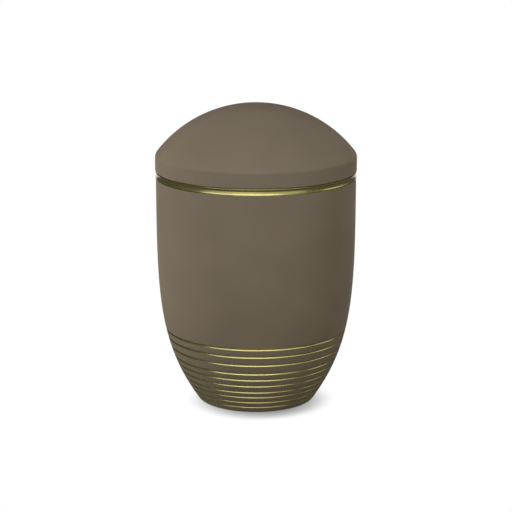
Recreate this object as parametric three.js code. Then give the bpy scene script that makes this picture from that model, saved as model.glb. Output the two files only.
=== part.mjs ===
// A cremation urn of spun brass: a lacquered body with ten turned grooves near its foot, a bright
// closing ring in its mouth, and a lacquered domed lid that lifts off.
//
// Millimetres, +Z up. The origin is the centre of the standing ring, on the surface the urn stands on.
// Every piece is turned about the Z axis, from a closed outline of (radius, height) points.
import * as THREE from "three";

// Driving dimensions
const HEIGHT = 300; // from the surface to the top of the dome
const LID_RADIUS = 100; // outside of the lid's skirt, the widest place
const WALL = 1.8; // thickness of the spun brass
const FIT_GAP = 0.3; // play between pieces that rest on or in each other

const RIM_HEIGHT = 227.3; // top of the body
const RIM_RADIUS = 99.4; // outside of the body at its rim
const BELLY_HANDLE = 114.4; // how far the wall runs on upright below the rim
const FOOT_HANDLE = 71; // how far the wall runs on straight above the foot
const FOOT_SLOPE = 55.5; // degrees that the wall leans from level where it meets the foot
const FOOT_ROUNDING = 4.8; // radius of the edge between wall and standing ring
const STANDING_OUTER = 55.6; // outer radius of the flat standing ring
const STANDING_INNER = 48; // inner radius of the flat standing ring
const BASE_RECESS = 1.2; // how far the middle of the base is pressed up
const RECESS_SLOPE = 1.2; // radial run of the recess's conical side

const GROOVE_WIDTH = 2.4;
const GROOVE_DEPTH = 0.85;
const FIRST_GROOVE = 153.6; // along the wall, from the rim to the middle of the first groove
const GROOVE_STEPS = [8.4, 9.4, 10.2, 7.5, 7.8, 8.3, 6.8, 7.5, 7.3]; // on along the wall, groove to groove

const RING_RADIUS = 99.6; // outside of the band that shows
const RING_HEIGHT = 6.1; // height of the band that shows
const COVE_DEPTH = 0.6; // how far the band is hollowed
const COVE_LAND = 0.6; // flat left above and below the hollow
const SPIGOT_DEPTH = 11; // how far the ring reaches down into the body
const NECK_HEIGHT = 10; // how far the ring reaches up into the lid
const NECK_LEAD = 0.6; // bevel that guides the lid onto the neck

const DOME_RISE = 50; // height of the dome above the level where it would meet the skirt
const SHOULDER_ROUNDING = 8; // radius between dome and skirt
const LIP_ROUNDING = 1.3; // outer rounding of the lid's lower edge

// How finely the round shapes are cut
const SIDES = 44;
const BELLY_STEPS = 8;
const GROOVE_CUTS = 3;
const INNER_WALL_STEPS = 11;
const DOME_STEPS = 9;
const SHOULDER_STEPS = 3;
const COVE_STEPS = 4;
const SMALL_ARC_STEPS = 2;

const point = (radius, height) => new THREE.Vector2(radius, height);

// Points on an arc, from one angle to another in degrees, both ends included.
function arc(centre, radius, from, to, steps) {
  return Array.from({ length: steps + 1 }, (_, i) => {
    const angle = THREE.MathUtils.degToRad(from + ((to - from) * i) / steps);
    return point(centre.x + radius * Math.cos(angle), centre.y + radius * Math.sin(angle));
  });
}

// The body's outside, from the rim down to the foot, as one smooth curve.
function wallCurve() {
  const slope = THREE.MathUtils.degToRad(FOOT_SLOPE);
  const rim = point(RIM_RADIUS, RIM_HEIGHT);
  const foot = point(
    STANDING_OUTER + FOOT_ROUNDING * Math.sin(slope),
    FOOT_ROUNDING * (1 - Math.cos(slope)),
  );
  const belly = point(RIM_RADIUS, RIM_HEIGHT - BELLY_HANDLE);
  const heel = point(foot.x + FOOT_HANDLE * Math.cos(slope), foot.y + FOOT_HANDLE * Math.sin(slope));
  return new THREE.CubicBezierCurve(rim, belly, heel, foot);
}

// The point at a distance along the wall, moved outwards from it.
function onWall(wall, along, outwards) {
  const share = Math.min(along / wall.getLength(), 1); // rounding can carry the last point past the end
  const tangent = wall.getTangentAt(share);
  return wall.getPointAt(share).add(point(-tangent.y, tangent.x).multiplyScalar(outwards));
}

// Where the middle of each groove lies, along the wall.
function groovePlaces() {
  const places = [FIRST_GROOVE];
  for (const step of GROOVE_STEPS) places.push(places.at(-1) + step);
  return places;
}

// A groove's round section, from its upper edge to its lower one.
function groove(wall, middle) {
  const half = GROOVE_WIDTH / 2;
  const radius = (half ** 2 + GROOVE_DEPTH ** 2) / (2 * GROOVE_DEPTH);
  const reach = THREE.MathUtils.radToDeg(Math.asin(half / radius));
  const centre = point(0, radius - GROOVE_DEPTH);
  return arc(centre, radius, -90 - reach, -90 + reach, GROOVE_CUTS).map((cut) =>
    onWall(wall, middle + cut.x, cut.y),
  );
}

function bodyOutline() {
  const wall = wallCurve();
  const places = groovePlaces();
  const plainWall = places[0] - GROOVE_WIDTH;
  const belly = Array.from({ length: BELLY_STEPS + 1 }, (_, i) =>
    onWall(wall, (plainWall * i) / BELLY_STEPS, 0),
  );
  const footEdge = arc(
    point(STANDING_OUTER, FOOT_ROUNDING),
    FOOT_ROUNDING,
    -90,
    FOOT_SLOPE - 90,
    SMALL_ARC_STEPS,
  );
  const floorHeight = BASE_RECESS + WALL;
  const inside = Array.from({ length: INNER_WALL_STEPS + 1 }, (_, i) =>
    onWall(wall, (wall.getLength() * i) / INNER_WALL_STEPS, -WALL),
  );
  return [
    point(0, BASE_RECESS),
    point(STANDING_INNER - RECESS_SLOPE, BASE_RECESS),
    point(STANDING_INNER, 0),
    ...footEdge,
    ...places.reverse().flatMap((middle) => groove(wall, middle).reverse()),
    ...belly.reverse(),
    ...inside,
    point(inside.at(-1).x - WALL, floorHeight),
    point(0, floorHeight),
  ];
}

function ringOutline() {
  const bottom = RIM_HEIGHT + FIT_GAP;
  const top = bottom + RING_HEIGHT;
  const spigot = RIM_RADIUS - WALL - FIT_GAP;
  const neck = LID_RADIUS - WALL - FIT_GAP;
  const bore = spigot - WALL;
  const halfCove = RING_HEIGHT / 2 - COVE_LAND;
  const coveRadius = (halfCove ** 2 + COVE_DEPTH ** 2) / (2 * COVE_DEPTH);
  const coveReach = THREE.MathUtils.radToDeg(Math.asin(halfCove / coveRadius));
  const coveCentre = point(RING_RADIUS - COVE_DEPTH + coveRadius, (bottom + top) / 2);
  return [
    point(bore, bottom - SPIGOT_DEPTH),
    point(spigot, bottom - SPIGOT_DEPTH),
    point(spigot, bottom),
    point(RING_RADIUS, bottom),
    ...arc(coveCentre, coveRadius, 180 + coveReach, 180 - coveReach, COVE_STEPS),
    point(RING_RADIUS, top),
    point(neck, top),
    point(neck, top + NECK_HEIGHT - NECK_LEAD),
    point(neck - NECK_LEAD, top + NECK_HEIGHT),
    point(bore, top + NECK_HEIGHT),
    point(bore, bottom - SPIGOT_DEPTH),
  ];
}

// The lid's section between axis and shoulder, drawn in by a thickness, as an arc of the dome, the
// rounded shoulder and the top of the skirt.
function domeOutline(thickness) {
  const domeRadius = (LID_RADIUS ** 2 + DOME_RISE ** 2) / (2 * DOME_RISE);
  const domeCentre = point(0, HEIGHT - domeRadius);
  const shoulder = point(LID_RADIUS - SHOULDER_ROUNDING, 0);
  shoulder.y = domeCentre.y + Math.sqrt((domeRadius - SHOULDER_ROUNDING) ** 2 - shoulder.x ** 2);
  const turn = THREE.MathUtils.radToDeg(Math.atan2(shoulder.y - domeCentre.y, shoulder.x));
  return [
    ...arc(shoulder, SHOULDER_ROUNDING - thickness, 0, turn, SHOULDER_STEPS),
    ...arc(domeCentre, domeRadius - thickness, turn, 90, DOME_STEPS).slice(1, -1),
    point(0, HEIGHT - thickness),
  ];
}

function lidOutline() {
  const bottom = RIM_HEIGHT + FIT_GAP + RING_HEIGHT + FIT_GAP;
  const lipCentre = point(LID_RADIUS - LIP_ROUNDING, bottom + LIP_ROUNDING);
  return [
    point(LID_RADIUS - WALL, bottom),
    ...arc(lipCentre, LIP_ROUNDING, -90, 0, SMALL_ARC_STEPS),
    ...domeOutline(0),
    ...domeOutline(WALL).reverse(),
    point(LID_RADIUS - WALL, bottom),
  ];
}

const lacquer = new THREE.MeshStandardMaterial({
  name: "taupe_lacquer",
  color: 0x6f6557,
  roughness: 0.55,
  metalness: 0,
});
const brass = new THREE.MeshStandardMaterial({
  name: "bright_brass",
  color: 0xb5a250,
  roughness: 0.25,
  metalness: 1,
});

function turned(name, outline, material) {
  const mesh = new THREE.Mesh(new THREE.LatheGeometry(outline, SIDES), material);
  mesh.name = name;
  mesh.rotation.x = Math.PI / 2; // a lathe turns about Y, and the urn stands along Z
  return mesh;
}

const urn = new THREE.Group();
urn.name = "cremation_urn";
urn.add(
  turned("urn_body", bodyOutline(), lacquer),
  turned("closing_ring", ringOutline(), brass),
  turned("lid", lidOutline(), lacquer),
);

export default urn;
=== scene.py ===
"""A cremation urn of spun brass under a matt taupe lacquer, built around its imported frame.

Lengths are metres, +Z is up, and the origin is the centre of the standing ring. Every piece is turned
about the Z axis from an outline, whose points lie in the XZ plane.
"""

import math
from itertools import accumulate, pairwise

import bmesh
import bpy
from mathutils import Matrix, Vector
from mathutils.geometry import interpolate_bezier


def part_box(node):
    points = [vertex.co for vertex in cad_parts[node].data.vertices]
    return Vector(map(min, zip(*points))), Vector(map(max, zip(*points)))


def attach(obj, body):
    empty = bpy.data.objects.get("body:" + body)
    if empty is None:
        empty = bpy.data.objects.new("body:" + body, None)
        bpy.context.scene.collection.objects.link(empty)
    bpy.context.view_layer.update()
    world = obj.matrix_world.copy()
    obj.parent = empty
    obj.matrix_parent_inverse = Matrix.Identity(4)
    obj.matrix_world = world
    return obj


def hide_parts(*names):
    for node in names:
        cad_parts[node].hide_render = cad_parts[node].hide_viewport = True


bl_info = {
    "name": "Cremation Urn",
    "version": (1, 0, 0),
    "blender": (4, 5, 0),
    "location": "View3D > Sidebar > Urn",
    "description": "Builds a lacquered brass urn with turned grooves, and a small studio around it",
    "category": "Add Mesh",
}

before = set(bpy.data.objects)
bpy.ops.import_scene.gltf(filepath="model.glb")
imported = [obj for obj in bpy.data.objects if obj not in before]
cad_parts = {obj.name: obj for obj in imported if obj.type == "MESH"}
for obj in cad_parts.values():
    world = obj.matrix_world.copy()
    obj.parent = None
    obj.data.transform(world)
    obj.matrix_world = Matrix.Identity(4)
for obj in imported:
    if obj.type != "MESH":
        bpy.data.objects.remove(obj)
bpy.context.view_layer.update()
BODY_LOW, BODY_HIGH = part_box("urn_body")
RING_LOW, RING_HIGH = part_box("closing_ring")
LID_LOW, LID_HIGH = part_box("lid")

MM = 0.001

# How finely the round shapes are cut
SIDES = 192  # steps of a full turn
WALL_SAMPLES = 600  # points that measure the length of the body's wall
GROOVE_CUTS = 10
FOOT_EDGE_CUTS = 8
COVE_CUTS = 14
SHOULDER_CUTS = 12
DOME_CUTS = 56
LIP_CUTS = 8
SOFTENING_CUTS = 3
FEWEST_CUTS = 4  # of a stretch of wall, however short it is
GROOVED_WALL_STEP = 0.8 * MM
PLAIN_WALL_STEP = 3 * MM
INNER_WALL_STEP = 4 * MM

CREASE = math.radians(22)  # a sharper turn than this is a turned edge, and is softened
MERGE_DISTANCE = 1e-6
RING_DIGITS = 7  # points whose radius and height agree this far are on one ring of the piece
FLOOR_REACH = 6

LACQUER, BRIGHT, PLAIN = range(3)  # the finishes, in the order of a piece's material slots
FROM_EDGE = "from_edge"  # vertex attribute: distance to the nearest place where lacquer ends
NO_EDGE = 1.0  # that distance on a piece without lacquer

# How far the signs of use, and the painted shade along them, reach in from the lacquer's edges
RUBBED_WIDTH = 0.12 * MM
RAGGED_WIDTH = 0.35 * MM
THIN_AND_SHADE_WIDTH = 1.1 * MM


def length_property(name, description, default):
    return bpy.props.FloatProperty(
        name=name, description=description, default=default, unit="LENGTH", precision=5
    )


def angle_property(name, description, degrees):
    return bpy.props.FloatProperty(
        name=name, description=description, default=math.radians(degrees), subtype="ANGLE"
    )


def colour_property(name, description, default):
    return bpy.props.FloatVectorProperty(
        name=name, description=description, default=default, subtype="COLOR", size=3, min=0, max=1
    )


class UrnBodySizes(bpy.types.PropertyGroup):
    wall: length_property("Wall", "Thickness of the spun brass", 1.8 * MM)
    belly_handle: length_property(
        "Belly Handle", "How far the wall runs on upright below the rim", 114.4 * MM
    )
    foot_handle: length_property(
        "Foot Handle", "How far the wall runs on straight above the foot", 71 * MM
    )
    foot_slope: angle_property(
        "Foot Slope", "Lean of the wall from level where it meets the foot", 55.5
    )
    foot_rounding: length_property(
        "Foot Rounding", "Radius of the edge between wall and standing ring", 4.8 * MM
    )
    standing_outer: length_property(
        "Standing Outer", "Outer radius of the flat standing ring", 55.6 * MM
    )
    standing_inner: length_property(
        "Standing Inner", "Inner radius of the flat standing ring", 48 * MM
    )
    base_recess: length_property(
        "Base Recess", "How far the middle of the base is pressed up", 1.2 * MM
    )
    groove_width: length_property("Groove Width", "Width of a turned groove", 2.4 * MM)
    groove_depth: length_property("Groove Depth", "Depth of a turned groove", 0.85 * MM)
    first_groove: length_property(
        "First Groove", "Along the wall, from the rim to the middle of the first groove", 153.6 * MM
    )
    groove_steps: bpy.props.FloatVectorProperty(
        name="Groove Steps",
        description="On along the wall, from groove to groove",
        size=9,
        default=[step * MM for step in (8.4, 9.4, 10.2, 7.5, 7.8, 8.3, 6.8, 7.5, 7.3)],
        unit="LENGTH",
    )


class ClosingRingSizes(bpy.types.PropertyGroup):
    play: length_property("Play", "Gap between pieces that rest on each other", 0.3 * MM)
    cove_depth: length_property("Cove Depth", "How far the band is hollowed", 0.6 * MM)
    cove_land: length_property("Cove Land", "Flat left above and below the hollow", 0.6 * MM)
    neck_lead: length_property("Neck Lead", "Bevel that guides the lid onto the neck", 0.6 * MM)


class LidSizes(bpy.types.PropertyGroup):
    dome_rise: length_property(
        "Dome Rise", "Height of the dome above the level where it would meet the skirt", 50 * MM
    )
    shoulder_rounding: length_property(
        "Shoulder Rounding", "Radius between dome and skirt", 8 * MM
    )
    lip_rounding: length_property(
        "Lip Rounding", "Outer rounding of the lid's lower edge", 1.3 * MM
    )


class UrnFinish(bpy.types.PropertyGroup):
    lacquer_colour: colour_property("Lacquer", "Colour of the taupe lacquer", (0.165, 0.129, 0.081))
    brass_colour: colour_property("Brass", "Colour of the bright brass", (0.80, 0.71, 0.26))
    plain_colour: colour_property(
        "Plain Brass", "Colour of the unpolished brass inside", (0.55, 0.44, 0.20)
    )
    softening: length_property("Softening", "Width that a turned edge is broken by", 0.15 * MM)


class StudioSettings(bpy.types.PropertyGroup):
    aim_height: length_property(
        "Aim Height", "Height on the urn's axis that the camera looks at", 0.1457
    )
    distance: length_property("Distance", "From the camera to the point it looks at", 1.8075)
    elevation: angle_property("Elevation", "Height of the camera above level", 13.55)
    lens: bpy.props.FloatProperty(
        name="Lens", description="Focal length on a 36 mm sensor", default=126.56, unit="CAMERA"
    )
    ambient: bpy.props.FloatProperty(
        name="Ambient",
        description="Light that the urn takes from the white around it",
        default=0.085,
        subtype="FACTOR",
    )


# Outlines


def spot(radius, height):
    return Vector((radius, 0, height))


def arc(centre, radius, start, end, steps):
    """Points on an arc, from one angle to another in radians, both ends included."""
    turns = (start + (end - start) * step / steps for step in range(steps + 1))
    return [centre + radius * spot(math.cos(turn), math.sin(turn)) for turn in turns]


def shallow_arc(width, depth):
    """Radius and half angle of the arc that spans a width and is that deep."""
    radius = ((width / 2) ** 2 + depth**2) / (2 * depth)
    return radius, math.asin(width / 2 / radius)


class WallCurve:
    """The body's outside, from the rim down to the foot, as a curve that is walked by its length."""

    def __init__(self, sizes):
        slope = sizes.foot_slope
        rim = spot(BODY_HIGH.x, BODY_HIGH.z)
        foot = spot(
            sizes.standing_outer + sizes.foot_rounding * math.sin(slope),
            sizes.foot_rounding * (1 - math.cos(slope)),
        )
        belly = rim - spot(0, sizes.belly_handle)
        heel = foot + sizes.foot_handle * spot(math.cos(slope), math.sin(slope))
        self.points = interpolate_bezier(rim, belly, heel, foot, WALL_SAMPLES)
        runs = ((end - start).length for start, end in pairwise(self.points))
        self.reached = list(accumulate(runs, initial=0))
        self.length = self.reached[-1]

    def at(self, along, outwards=0.0):
        """The point at a distance along the wall, moved outwards from it."""
        last = len(self.reached) - 1
        after = next((i for i, reach in enumerate(self.reached) if reach >= along and i), last)
        start, end = self.points[after - 1], self.points[after]
        share = (along - self.reached[after - 1]) / (self.reached[after] - self.reached[after - 1])
        run = (end - start).normalized()
        return start.lerp(end, share) + outwards * spot(-run.z, run.x)

    def stretch(self, start, end, step, outwards=0.0):
        """Points from one distance to another, both included, closer together near the ends."""
        count = max(FEWEST_CUTS, round(abs(end - start) / step))
        shares = ((1 - math.cos(math.pi * i / count)) / 2 for i in range(count + 1))
        return [self.at(start + (end - start) * share, outwards) for share in shares]


def groove_middles(sizes):
    """Where the middle of each groove lies along the wall."""
    return list(accumulate(sizes.groove_steps, initial=sizes.first_groove))


def groove_outline(wall, middle, sizes):
    """A groove's round section, from its upper edge to its lower one."""
    radius, reach = shallow_arc(sizes.groove_width, sizes.groove_depth)
    centre = spot(0, radius - sizes.groove_depth)
    deepest = -math.pi / 2
    section = arc(centre, radius, deepest - reach, deepest + reach, GROOVE_CUTS)
    return [wall.at(middle + cut.x, cut.z) for cut in section]


def body_outline(sizes):
    """Stretches of (finish, points) from the middle of the base, up the outside and down the inside."""
    wall = WallCurve(sizes)
    half = sizes.groove_width / 2
    foot_edge = arc(
        spot(sizes.standing_outer, sizes.foot_rounding),
        sizes.foot_rounding,
        -math.pi / 2,
        sizes.foot_slope - math.pi / 2,
        FOOT_EDGE_CUTS,
    )
    base = [
        spot(0, sizes.base_recess),
        spot(sizes.standing_inner - sizes.base_recess, sizes.base_recess),
        spot(sizes.standing_inner, 0),
        *foot_edge,
    ]
    stretches = [(LACQUER, base)]
    below = wall.length
    for middle in reversed(groove_middles(sizes)):
        stretches.append((LACQUER, wall.stretch(below, middle + half, GROOVED_WALL_STEP)))
        stretches.append((BRIGHT, groove_outline(wall, middle, sizes)[::-1]))
        below = middle - half
    stretches.append((LACQUER, wall.stretch(below, 0, PLAIN_WALL_STEP)))

    floor = sizes.base_recess + sizes.wall
    inner = wall.stretch(0, wall.length, INNER_WALL_STEP, -sizes.wall)
    inner = [point for point in inner if point.z > floor]
    heel = inner[-1]
    inside = [
        spot(BODY_HIGH.x, BODY_HIGH.z),
        *inner,
        spot(heel.x - sizes.wall, floor),
        spot(0, floor),
    ]
    stretches.append((PLAIN, inside))
    return stretches


def ring_outline(sizes, wall):
    """One stretch, round the ring's section from the bottom of its spigot and back to there."""
    bottom = BODY_HIGH.z + sizes.play
    top = LID_LOW.z - sizes.play
    edge = RING_HIGH.x
    spigot = BODY_HIGH.x - wall - sizes.play
    neck = LID_HIGH.x - wall - sizes.play
    bore = spigot - wall
    cove_width = top - bottom - 2 * sizes.cove_land
    radius, reach = shallow_arc(cove_width, sizes.cove_depth)
    cove_centre = spot(edge - sizes.cove_depth + radius, (bottom + top) / 2)
    section = [
        spot(bore, RING_LOW.z),
        spot(spigot, RING_LOW.z),
        spot(spigot, bottom),
        spot(edge, bottom),
        *arc(cove_centre, radius, math.pi + reach, math.pi - reach, COVE_CUTS),
        spot(edge, top),
        spot(neck, top),
        spot(neck, RING_HIGH.z - sizes.neck_lead),
        spot(neck - sizes.neck_lead, RING_HIGH.z),
        spot(bore, RING_HIGH.z),
        spot(bore, RING_LOW.z),
    ]
    return [(BRIGHT, section)]


def dome_outline(sizes, thickness):
    """The lid's section from the top of its skirt to the axis, drawn in by a thickness."""
    width, height = LID_HIGH.x, LID_HIGH.z
    dome_radius, _ = shallow_arc(2 * width, sizes.dome_rise)
    dome_centre = spot(0, height - dome_radius)
    shoulder_x = width - sizes.shoulder_rounding
    shoulder_rise = math.sqrt((dome_radius - sizes.shoulder_rounding) ** 2 - shoulder_x**2)
    shoulder = dome_centre + spot(shoulder_x, shoulder_rise)
    turn = math.atan2(shoulder_rise, shoulder_x)
    return [
        *arc(shoulder, sizes.shoulder_rounding - thickness, 0, turn, SHOULDER_CUTS),
        *arc(dome_centre, dome_radius - thickness, turn, math.pi / 2, DOME_CUTS)[1:-1],
        spot(0, height - thickness),
    ]


def lid_outline(sizes, wall):
    """Stretches of (finish, points) from the lip, up the outside and down the inside."""
    edge, lip = LID_HIGH.x, LID_LOW.z
    lip_centre = spot(edge - sizes.lip_rounding, lip + sizes.lip_rounding)
    rounding = arc(lip_centre, sizes.lip_rounding, -math.pi / 2, 0, LIP_CUTS)
    outside = [*rounding, *dome_outline(sizes, 0)]
    inside = [*dome_outline(sizes, wall)[::-1], spot(edge - wall, lip), rounding[0]]
    return [(LACQUER, outside), (PLAIN, inside)]


# Meshes


def lacquer_ends(stretches):
    """The points of the outline where lacquer meets bare brass."""
    ends = []
    for (finish, points), (next_finish, _) in pairwise([*stretches, stretches[0]]):
        if LACQUER in (finish, next_finish) and finish != next_finish:
            ends.append(points[-1])
    return ends


def spin_outline(maker, stretches):
    """Turns the outline about the axis into a closed skin, whose faces know their finish."""
    finish_layer = maker.verts.layers.int.new("finish")
    for finish, outline in stretches:
        verts = [maker.verts.new(point) for point in outline]
        for vert in verts:
            vert[finish_layer] = finish
        for pair in pairwise(verts):
            maker.edges.new(pair)
    bmesh.ops.spin(
        maker,
        geom=maker.verts[:] + maker.edges[:],
        cent=(0, 0, 0),
        axis=(0, 0, 1),
        dvec=(0, 0, 0),
        angle=math.tau,
        steps=SIDES,
        use_merge=True,
    )
    for face in maker.faces:
        face.material_index = face.verts[0][finish_layer]
    bmesh.ops.remove_doubles(maker, verts=maker.verts, dist=MERGE_DISTANCE)
    bmesh.ops.recalc_face_normals(maker, faces=maker.faces)


def soften_edges(maker, softening):
    creases = [edge for edge in maker.edges if edge.calc_face_angle() > CREASE]
    bmesh.ops.bevel(
        maker,
        geom=creases,
        offset=softening,
        offset_type="OFFSET",
        segments=SOFTENING_CUTS,
        profile=0.5,
        affect="EDGES",
        clamp_overlap=True,
        material=-1,
    )


def measure_from_edge(maker, ends):
    """Notes on every vertex how far it is from the nearest end of the lacquer."""
    distance = maker.verts.layers.float.new(FROM_EDGE)
    known = {}
    for vert in maker.verts:
        radius = math.hypot(vert.co.x, vert.co.y)
        ring = (round(radius, RING_DIGITS), round(vert.co.z, RING_DIGITS))
        if ring not in known:
            known[ring] = min(((spot(*ring) - end).length for end in ends), default=NO_EDGE)
        vert[distance] = known[ring]


def turned_mesh(name, stretches, softening):
    """One closed mesh from the stretches of an outline, with its turned edges softened."""
    maker = bmesh.new()
    spin_outline(maker, stretches)
    soften_edges(maker, softening)
    measure_from_edge(maker, lacquer_ends(stretches))
    for face in maker.faces:
        face.smooth = True
    mesh = bpy.data.meshes.new(name)
    maker.to_mesh(mesh)
    maker.free()
    return mesh


def place_piece(mesh, materials, node):
    """Puts a finished mesh in the scene for a CAD node, and lets large faces lead the shading."""
    for material in materials:
        mesh.materials.append(material)
    piece = bpy.data.objects.new(mesh.name, mesh)
    bpy.context.scene.collection.objects.link(piece)
    shading = piece.modifiers.new("even_shading", "WEIGHTED_NORMAL")
    shading.mode = "FACE_AREA"
    shading.weight = 50
    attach(piece, "root")
    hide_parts(node)


# Node helpers


def set_inputs(tree, node, inputs):
    """Sets a node's inputs, by name or place, to values, or links them to sockets."""
    for key, value in inputs.items():
        if isinstance(value, bpy.types.NodeSocket):
            tree.links.new(value, node.inputs[key])
        else:
            node.inputs[key].default_value = value


def add_node(tree, kind, inputs=None, **settings):
    """A new node with its settings and its inputs."""
    node = tree.nodes.new(kind)
    for setting, value in settings.items():
        setattr(node, setting, value)
    set_inputs(tree, node, inputs or {})
    return node


def maths(tree, operation, *values):
    node = add_node(tree, "ShaderNodeMath", dict(enumerate(values)), operation=operation)
    return node.outputs[0]


def noise(tree, coordinates, scale, detail=3.0, roughness=0.5):
    """Noise from 0 to 1, with about that many features in a metre."""
    node = add_node(
        tree,
        "ShaderNodeTexNoise",
        {"Vector": coordinates, "Scale": scale, "Detail": detail, "Roughness": roughness},
    )
    return node.outputs["Fac"]


def remap(tree, value, low, high, to_low=0.0, to_high=1.0):
    node = add_node(
        tree,
        "ShaderNodeMapRange",
        {"Value": value, "From Min": low, "From Max": high, "To Min": to_low, "To Max": to_high},
        interpolation_type="SMOOTHSTEP",
    )
    return node.outputs["Result"]


def mix_colour(tree, factor, first, second):
    """Two colours mixed; the node's colour sockets are its inputs 6 and 7 and its output 2."""
    node = add_node(tree, "ShaderNodeMix", {0: factor, 6: first, 7: second}, data_type="RGBA")
    return node.outputs[2]


def bump(tree, height, strength, distance):
    node = add_node(
        tree, "ShaderNodeBump", {"Strength": strength, "Distance": distance, "Height": height}
    )
    return node.outputs["Normal"]


def object_place(tree):
    return add_node(tree, "ShaderNodeTexCoord").outputs["Object"]


def opaque(colour, brightness=1.0):
    """A colour for a node, from one of three parts that is made brighter or darker."""
    return (*(Vector(colour) * brightness), 1)


def new_group(name, inputs, outputs):
    """A shader node group with float inputs {name: default} and named float outputs."""
    tree = bpy.data.node_groups.new(name, "ShaderNodeTree")
    for label, default in inputs.items():
        socket = tree.interface.new_socket(label, in_out="INPUT", socket_type="NodeSocketFloat")
        socket.default_value = default
    for label in outputs:
        tree.interface.new_socket(label, in_out="OUTPUT", socket_type="NodeSocketFloat")
    start = tree.nodes.new("NodeGroupInput")
    end = tree.nodes.new("NodeGroupOutput")
    return tree, start, end


def new_material(name):
    """A material with its tree and shader, or with neither if it was made before."""
    material = bpy.data.materials.get(name)
    if material:
        return material, None, None
    material = bpy.data.materials.new(name)
    material.use_nodes = True
    tree = material.node_tree
    return material, tree, tree.nodes["Principled BSDF"]


# Shared effects


def turning_lines_group():
    """Fine rings that a lathe tool leaves, the same all the way round the axis."""
    tree, start, end = new_group("Turning Lines", {"spacing": 0.3 * MM}, ["height", "tone"])
    x, y, z = add_node(tree, "ShaderNodeSeparateXYZ", {0: object_place(tree)}).outputs
    squares = [maths(tree, "MULTIPLY", side, side) for side in (x, y)]
    radius = maths(tree, "SQRT", maths(tree, "ADD", *squares))
    section = add_node(tree, "ShaderNodeCombineXYZ", {0: radius, 2: z}).outputs[0]
    fine = maths(tree, "DIVIDE", 1.0, start.outputs["spacing"])
    broad = maths(tree, "MULTIPLY", fine, 0.15)
    height = noise(tree, section, fine, detail=2.0, roughness=0.6)
    tone = noise(tree, section, broad, detail=2.0)
    set_inputs(tree, end, {"height": height, "tone": tone})
    return tree


def handling_group():
    """Broad soft clouds, as hands and cloths leave on a finish, and small flecks in them."""
    sizes = {"cloud size": 50 * MM, "fleck size": 2 * MM}
    tree, start, end = new_group("Handling", sizes, ["clouds", "flecks"])
    place = object_place(tree)
    for label, size, detail in (("clouds", "cloud size", 4.0), ("flecks", "fleck size", 2.0)):
        scale = maths(tree, "DIVIDE", 1.0, start.outputs[size])
        set_inputs(tree, end, {label: noise(tree, place, scale, detail)})
    return tree


def place_group(tree, name, make, inputs):
    """The outputs of the shared group of that name, which is made the first time it is placed."""
    node = tree.nodes.new("ShaderNodeGroup")
    node.node_tree = bpy.data.node_groups.get(name) or make()
    set_inputs(tree, node, inputs)
    return node.outputs


# Finishes


def lacquer_material(finish):
    """Matt taupe lacquer: a fine skin, soft clouds, bare brass where its edges are rubbed thin, and a
    painted dark olive shade along those edges.
    """
    material, tree, shader = new_material("urn_lacquer")
    if tree is None:
        return material
    place = object_place(tree)
    handling = place_group(
        tree, "Handling", handling_group, {"cloud size": 45 * MM, "fleck size": 1.5 * MM}
    )
    clouds, flecks = handling["clouds"], handling["flecks"]

    lacquer, brass = finish.lacquer_colour, finish.brass_colour
    light, dark, fleck = (opaque(lacquer, brightness) for brightness in (1.04, 0.96, 0.85))
    mottled = mix_colour(tree, remap(tree, clouds, 0.3, 0.7), dark, light)
    speckled = mix_colour(tree, remap(tree, flecks, 0.55, 0.8, 0, 0.25), mottled, fleck)

    from_edge = add_node(tree, "ShaderNodeAttribute", attribute_name=FROM_EDGE).outputs["Fac"]
    ragged = maths(tree, "MULTIPLY", noise(tree, place, 1 / (1.2 * MM)), RAGGED_WIDTH)
    rubbed = remap(tree, maths(tree, "SUBTRACT", from_edge, ragged), 0, RUBBED_WIDTH, 1, 0)
    # painted shade: within 1.1 mm of its edges the lacquer, also worn thin there, turns up to a third
    # of the way to a dark olive
    thin_and_shade = remap(tree, from_edge, 0, THIN_AND_SHADE_WIDTH, 0.35, 0)
    thinned_and_shaded = mix_colour(tree, thin_and_shade, speckled, opaque(brass, 0.16))
    satin = remap(tree, clouds, 0.25, 0.75, 0.50, 0.58)

    grain = noise(tree, place, 1 / (0.9 * MM), detail=2.0)
    ripple = maths(tree, "MULTIPLY", noise(tree, place, 1 / (6 * MM)), 2.0)
    skin = maths(tree, "ADD", grain, ripple)
    colour = mix_colour(tree, rubbed, thinned_and_shaded, opaque(brass))
    rough = maths(tree, "SUBTRACT", satin, maths(tree, "MULTIPLY", rubbed, 0.25))
    look = {
        "Base Color": colour,
        "Metallic": rubbed,
        "Roughness": rough,
        "IOR": 1.45,
        "Normal": bump(tree, skin, strength=0.35, distance=0.02 * MM),
    }
    set_inputs(tree, shader, look)
    return material


def brass_material(name, colour, spacing, smoothest, roughest, depth, coat):
    """Turned brass: lines round the axis, uneven gloss, a breath of tarnish and a clear coat."""
    material, tree, shader = new_material(name)
    if tree is None:
        return material
    lines = place_group(tree, "Turning Lines", turning_lines_group, {"spacing": spacing})
    handling = place_group(
        tree, "Handling", handling_group, {"cloud size": 30 * MM, "fleck size": 1.2 * MM}
    )
    clouds, tone = handling["clouds"], lines["tone"]

    streaks = remap(tree, tone, 0.3, 0.7, 0, 0.35)
    streaked = mix_colour(tree, streaks, opaque(colour), opaque(colour, 0.9))
    tarnish = opaque(Vector(colour) * Vector((0.86, 0.78, 0.62)))
    aged = mix_colour(tree, remap(tree, clouds, 0.45, 0.75, 0, 0.4), streaked, tarnish)
    unevenness = maths(tree, "ADD", clouds, tone)
    look = {
        "Base Color": aged,
        "Metallic": 1.0,
        "Roughness": remap(tree, unevenness, 0.7, 1.3, smoothest, roughest),
        "Coat Weight": coat,
        "Coat Roughness": 0.15,
        "Coat IOR": 1.6,
        "Normal": bump(tree, lines["height"], strength=0.3, distance=depth),
    }
    set_inputs(tree, shader, look)
    return material


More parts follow.
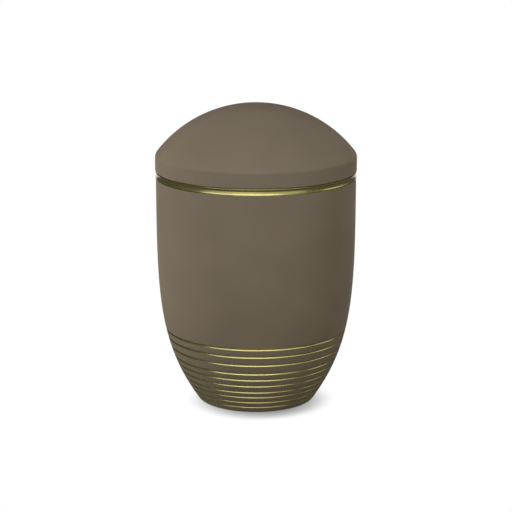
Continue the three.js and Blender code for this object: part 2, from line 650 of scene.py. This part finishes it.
def urn_materials(finish):
    """The materials in the order of the finishes."""
    bright = brass_material(
        "urn_bright_brass",
        finish.brass_colour,
        spacing=0.25 * MM,
        smoothest=0.20,
        roughest=0.31,
        depth=0.01 * MM,
        coat=0.4,
    )
    plain = brass_material(
        "urn_plain_brass",
        finish.plain_colour,
        spacing=1.2 * MM,
        smoothest=0.36,
        roughest=0.52,
        depth=0.04 * MM,
        coat=0,
    )
    return [lacquer_material(finish), bright, plain]


# Operators


class URN_OT_body(bpy.types.Operator):
    """Turns the body with its grooves, foot and hollow inside"""

    bl_idname = "urn.body"
    bl_label = "Body"

    def execute(self, context):
        scene = context.scene
        mesh = turned_mesh("grooved_body", body_outline(scene.urn_body), scene.urn_finish.softening)
        place_piece(mesh, urn_materials(scene.urn_finish), "urn_body")
        return {"FINISHED"}


class URN_OT_closing_ring(bpy.types.Operator):
    """Turns the bright ring between body and lid"""

    bl_idname = "urn.closing_ring"
    bl_label = "Closing Ring"

    def execute(self, context):
        scene = context.scene
        outline = ring_outline(scene.urn_ring, scene.urn_body.wall)
        mesh = turned_mesh("bright_closing_ring", outline, scene.urn_finish.softening)
        place_piece(mesh, urn_materials(scene.urn_finish), "closing_ring")
        return {"FINISHED"}


class URN_OT_lid(bpy.types.Operator):
    """Turns the domed lid"""

    bl_idname = "urn.lid"
    bl_label = "Lid"

    def execute(self, context):
        scene = context.scene
        outline = lid_outline(scene.urn_lid, scene.urn_body.wall)
        mesh = turned_mesh("domed_lid", outline, scene.urn_finish.softening)
        place_piece(mesh, urn_materials(scene.urn_finish), "lid")
        return {"FINISHED"}


def place_softbox(name, azimuth, elevation, distance, width, height, power, aim):
    """A softbox that shines at a point; azimuth 0 is the camera's side, 90 is +X."""
    lamp = bpy.data.lights.new(name, "AREA")
    lamp.shape = "RECTANGLE"
    lamp.size = width
    lamp.size_y = height
    lamp.energy = power
    softbox = bpy.data.objects.new(name, lamp)
    turn, rise = math.radians(azimuth), math.radians(elevation)
    level = math.cos(rise)
    away = Vector((math.sin(turn) * level, -math.cos(turn) * level, math.sin(rise)))
    softbox.location = aim + away * distance
    softbox.rotation_euler = (-away).to_track_quat("-Z", "Y").to_euler()
    softbox.visible_camera = False
    bpy.context.scene.collection.objects.link(softbox)
    return softbox


def place_lights(aim):
    front_strip = place_softbox("front_strip", -19, 44, 1.5, 2.3, 0.75, 7.8, aim)
    front_strip.data.color = (0.94, 0.97, 1.25)  # cool, so that gleams on the brass turn cream
    place_softbox("front_wall", -1, 10, 1.5, 4.6, 1.6, 8.8, aim)
    place_softbox("front_panel", -12, 12, 1.5, 0.9, 1.5, 1.1, aim)
    place_softbox("right_strip", 58, 54, 1.5, 1.3, 0.8, 3.4, aim)
    right_gleam = place_softbox("right_gleam", 101, 24, 1.5, 0.9, 0.6, 1.2, aim)
    right_gleam.visible_diffuse = False  # reaches the right ends of the grooves, not the lacquer
    place_softbox("left_panel", -75, 6, 1.5, 1.2, 1.7, 0.15, aim)
    place_softbox("back_strip", 180, 62, 1.5, 1.2, 0.4, 2, aim)
    place_softbox("back_panel", 180, -10, 1.5, 1.4, 0.5, 1.5, aim)
    for softbox in (
        place_softbox("key", -31, 15, 1.3, 0.9, 0.8, 3.9, aim),
        place_softbox("fill", 48, 14, 1.4, 0.8, 0.6, 4.4, aim),
        place_softbox("left_wall", -108, 6, 1.2, 1.6, 1.8, 19, aim),
        place_softbox("right_wall", 135, 4, 1.2, 0.5, 1.8, 8, aim),
    ):
        softbox.visible_glossy = False  # keeps the brass dark towards its sides


def floor_material():
    """White paper that glows evenly, with a painted contact shadow that darkens it close to what stands
    on it, most in front and to the right.
    """
    material, tree, shader = new_material("pale_floor")
    # painted contact shadow: ambient occlusion, leaning towards the back and the left, darkens the
    # floor's glow near the urn
    shadow_lean = add_node(tree, "ShaderNodeCombineXYZ", {0: -0.25, 1: 0.7, 2: 0.7}).outputs[0]
    contact_shadow_ao = add_node(
        tree, "ShaderNodeAmbientOcclusion", {"Distance": 26 * MM, "Normal": shadow_lean}, samples=16
    )
    look = {
        "Base Color": (0, 0, 0, 1),
        "Roughness": 1.0,
        "Specular IOR Level": 0.0,
        "Emission Color": remap(tree, contact_shadow_ao.outputs["AO"], -0.1, 0.75, 0.1, 1),
        "Emission Strength": 1.0,
    }
    set_inputs(tree, shader, look)
    return material


def place_floor():
    maker = bmesh.new()
    bmesh.ops.create_grid(
        maker, x_segments=1, y_segments=1, size=FLOOR_REACH, matrix=Matrix.Identity(4)
    )
    mesh = bpy.data.meshes.new("studio_floor")
    maker.to_mesh(mesh)
    maker.free()
    mesh.materials.append(floor_material())
    floor = bpy.data.objects.new("studio_floor", mesh)
    bpy.context.scene.collection.objects.link(floor)
    floor.visible_diffuse = False
    floor.visible_glossy = False
    floor.visible_shadow = False


def studio_world(scene):
    """White behind the urn, and almost no light from there onto it."""
    world = bpy.data.worlds.new("studio_world")
    scene.world = world
    world.use_nodes = True
    tree = world.node_tree
    ray = add_node(tree, "ShaderNodeLightPath").outputs
    ambient = scene.urn_studio.ambient
    unseen = remap(tree, ray["Is Diffuse Ray"], 0, 1, ambient * 0.9, ambient)
    strength = maths(tree, "MAXIMUM", ray["Is Camera Ray"], unseen)
    set_inputs(tree, tree.nodes["Background"], {"Color": (1, 1, 1, 1), "Strength": strength})


def place_camera(scene, aim):
    studio = scene.urn_studio
    camera = bpy.data.objects.new("camera", bpy.data.cameras.new("camera"))
    camera.data.lens = studio.lens
    rise = studio.elevation
    away = Vector((0, -math.cos(rise), math.sin(rise)))
    camera.location = aim + away * studio.distance
    camera.rotation_euler = (math.pi / 2 - rise, 0, 0)
    scene.collection.objects.link(camera)
    scene.camera = camera


class URN_OT_studio(bpy.types.Operator):
    """Sets up the pale floor, the soft light and the camera"""

    bl_idname = "urn.studio"
    bl_label = "Studio"

    def execute(self, context):
        scene = context.scene
        aim = Vector((0, 0, scene.urn_studio.aim_height))
        place_floor()
        place_lights(aim)
        studio_world(scene)
        place_camera(scene, aim)
        scene.view_settings.view_transform = "Standard"
        return {"FINISHED"}


class URN_PT_panel(bpy.types.Panel):
    """Sizes, finishes and makers of the urn"""

    bl_idname = "URN_PT_panel"
    bl_label = "Cremation Urn"
    bl_space_type = "VIEW_3D"
    bl_region_type = "UI"
    bl_category = "Urn"

    def draw(self, context):
        for home in PROPERTY_HOMES:
            box = self.layout.box()
            settings = getattr(context.scene, home)
            for name in settings.__annotations__:
                box.prop(settings, name)
        for operator in OPERATORS:
            self.layout.operator(operator.bl_idname)


PROPERTY_HOMES = {
    "urn_body": UrnBodySizes,
    "urn_ring": ClosingRingSizes,
    "urn_lid": LidSizes,
    "urn_finish": UrnFinish,
    "urn_studio": StudioSettings,
}
OPERATORS = (URN_OT_body, URN_OT_closing_ring, URN_OT_lid, URN_OT_studio)


def register():
    for group in PROPERTY_HOMES.values():
        bpy.utils.register_class(group)
    for cls in (*OPERATORS, URN_PT_panel):
        bpy.utils.register_class(cls)
    for home, group in PROPERTY_HOMES.items():
        setattr(bpy.types.Scene, home, bpy.props.PointerProperty(type=group))


def unregister():
    for home in PROPERTY_HOMES:
        delattr(bpy.types.Scene, home)
    for cls in (URN_PT_panel, *reversed(OPERATORS)):
        bpy.utils.unregister_class(cls)
    for group in reversed(PROPERTY_HOMES.values()):
        bpy.utils.unregister_class(group)


def main():
    register()
    bpy.ops.urn.body()
    bpy.ops.urn.closing_ring()
    bpy.ops.urn.lid()
    bpy.ops.urn.studio()


if __name__ == "__main__":
    main()
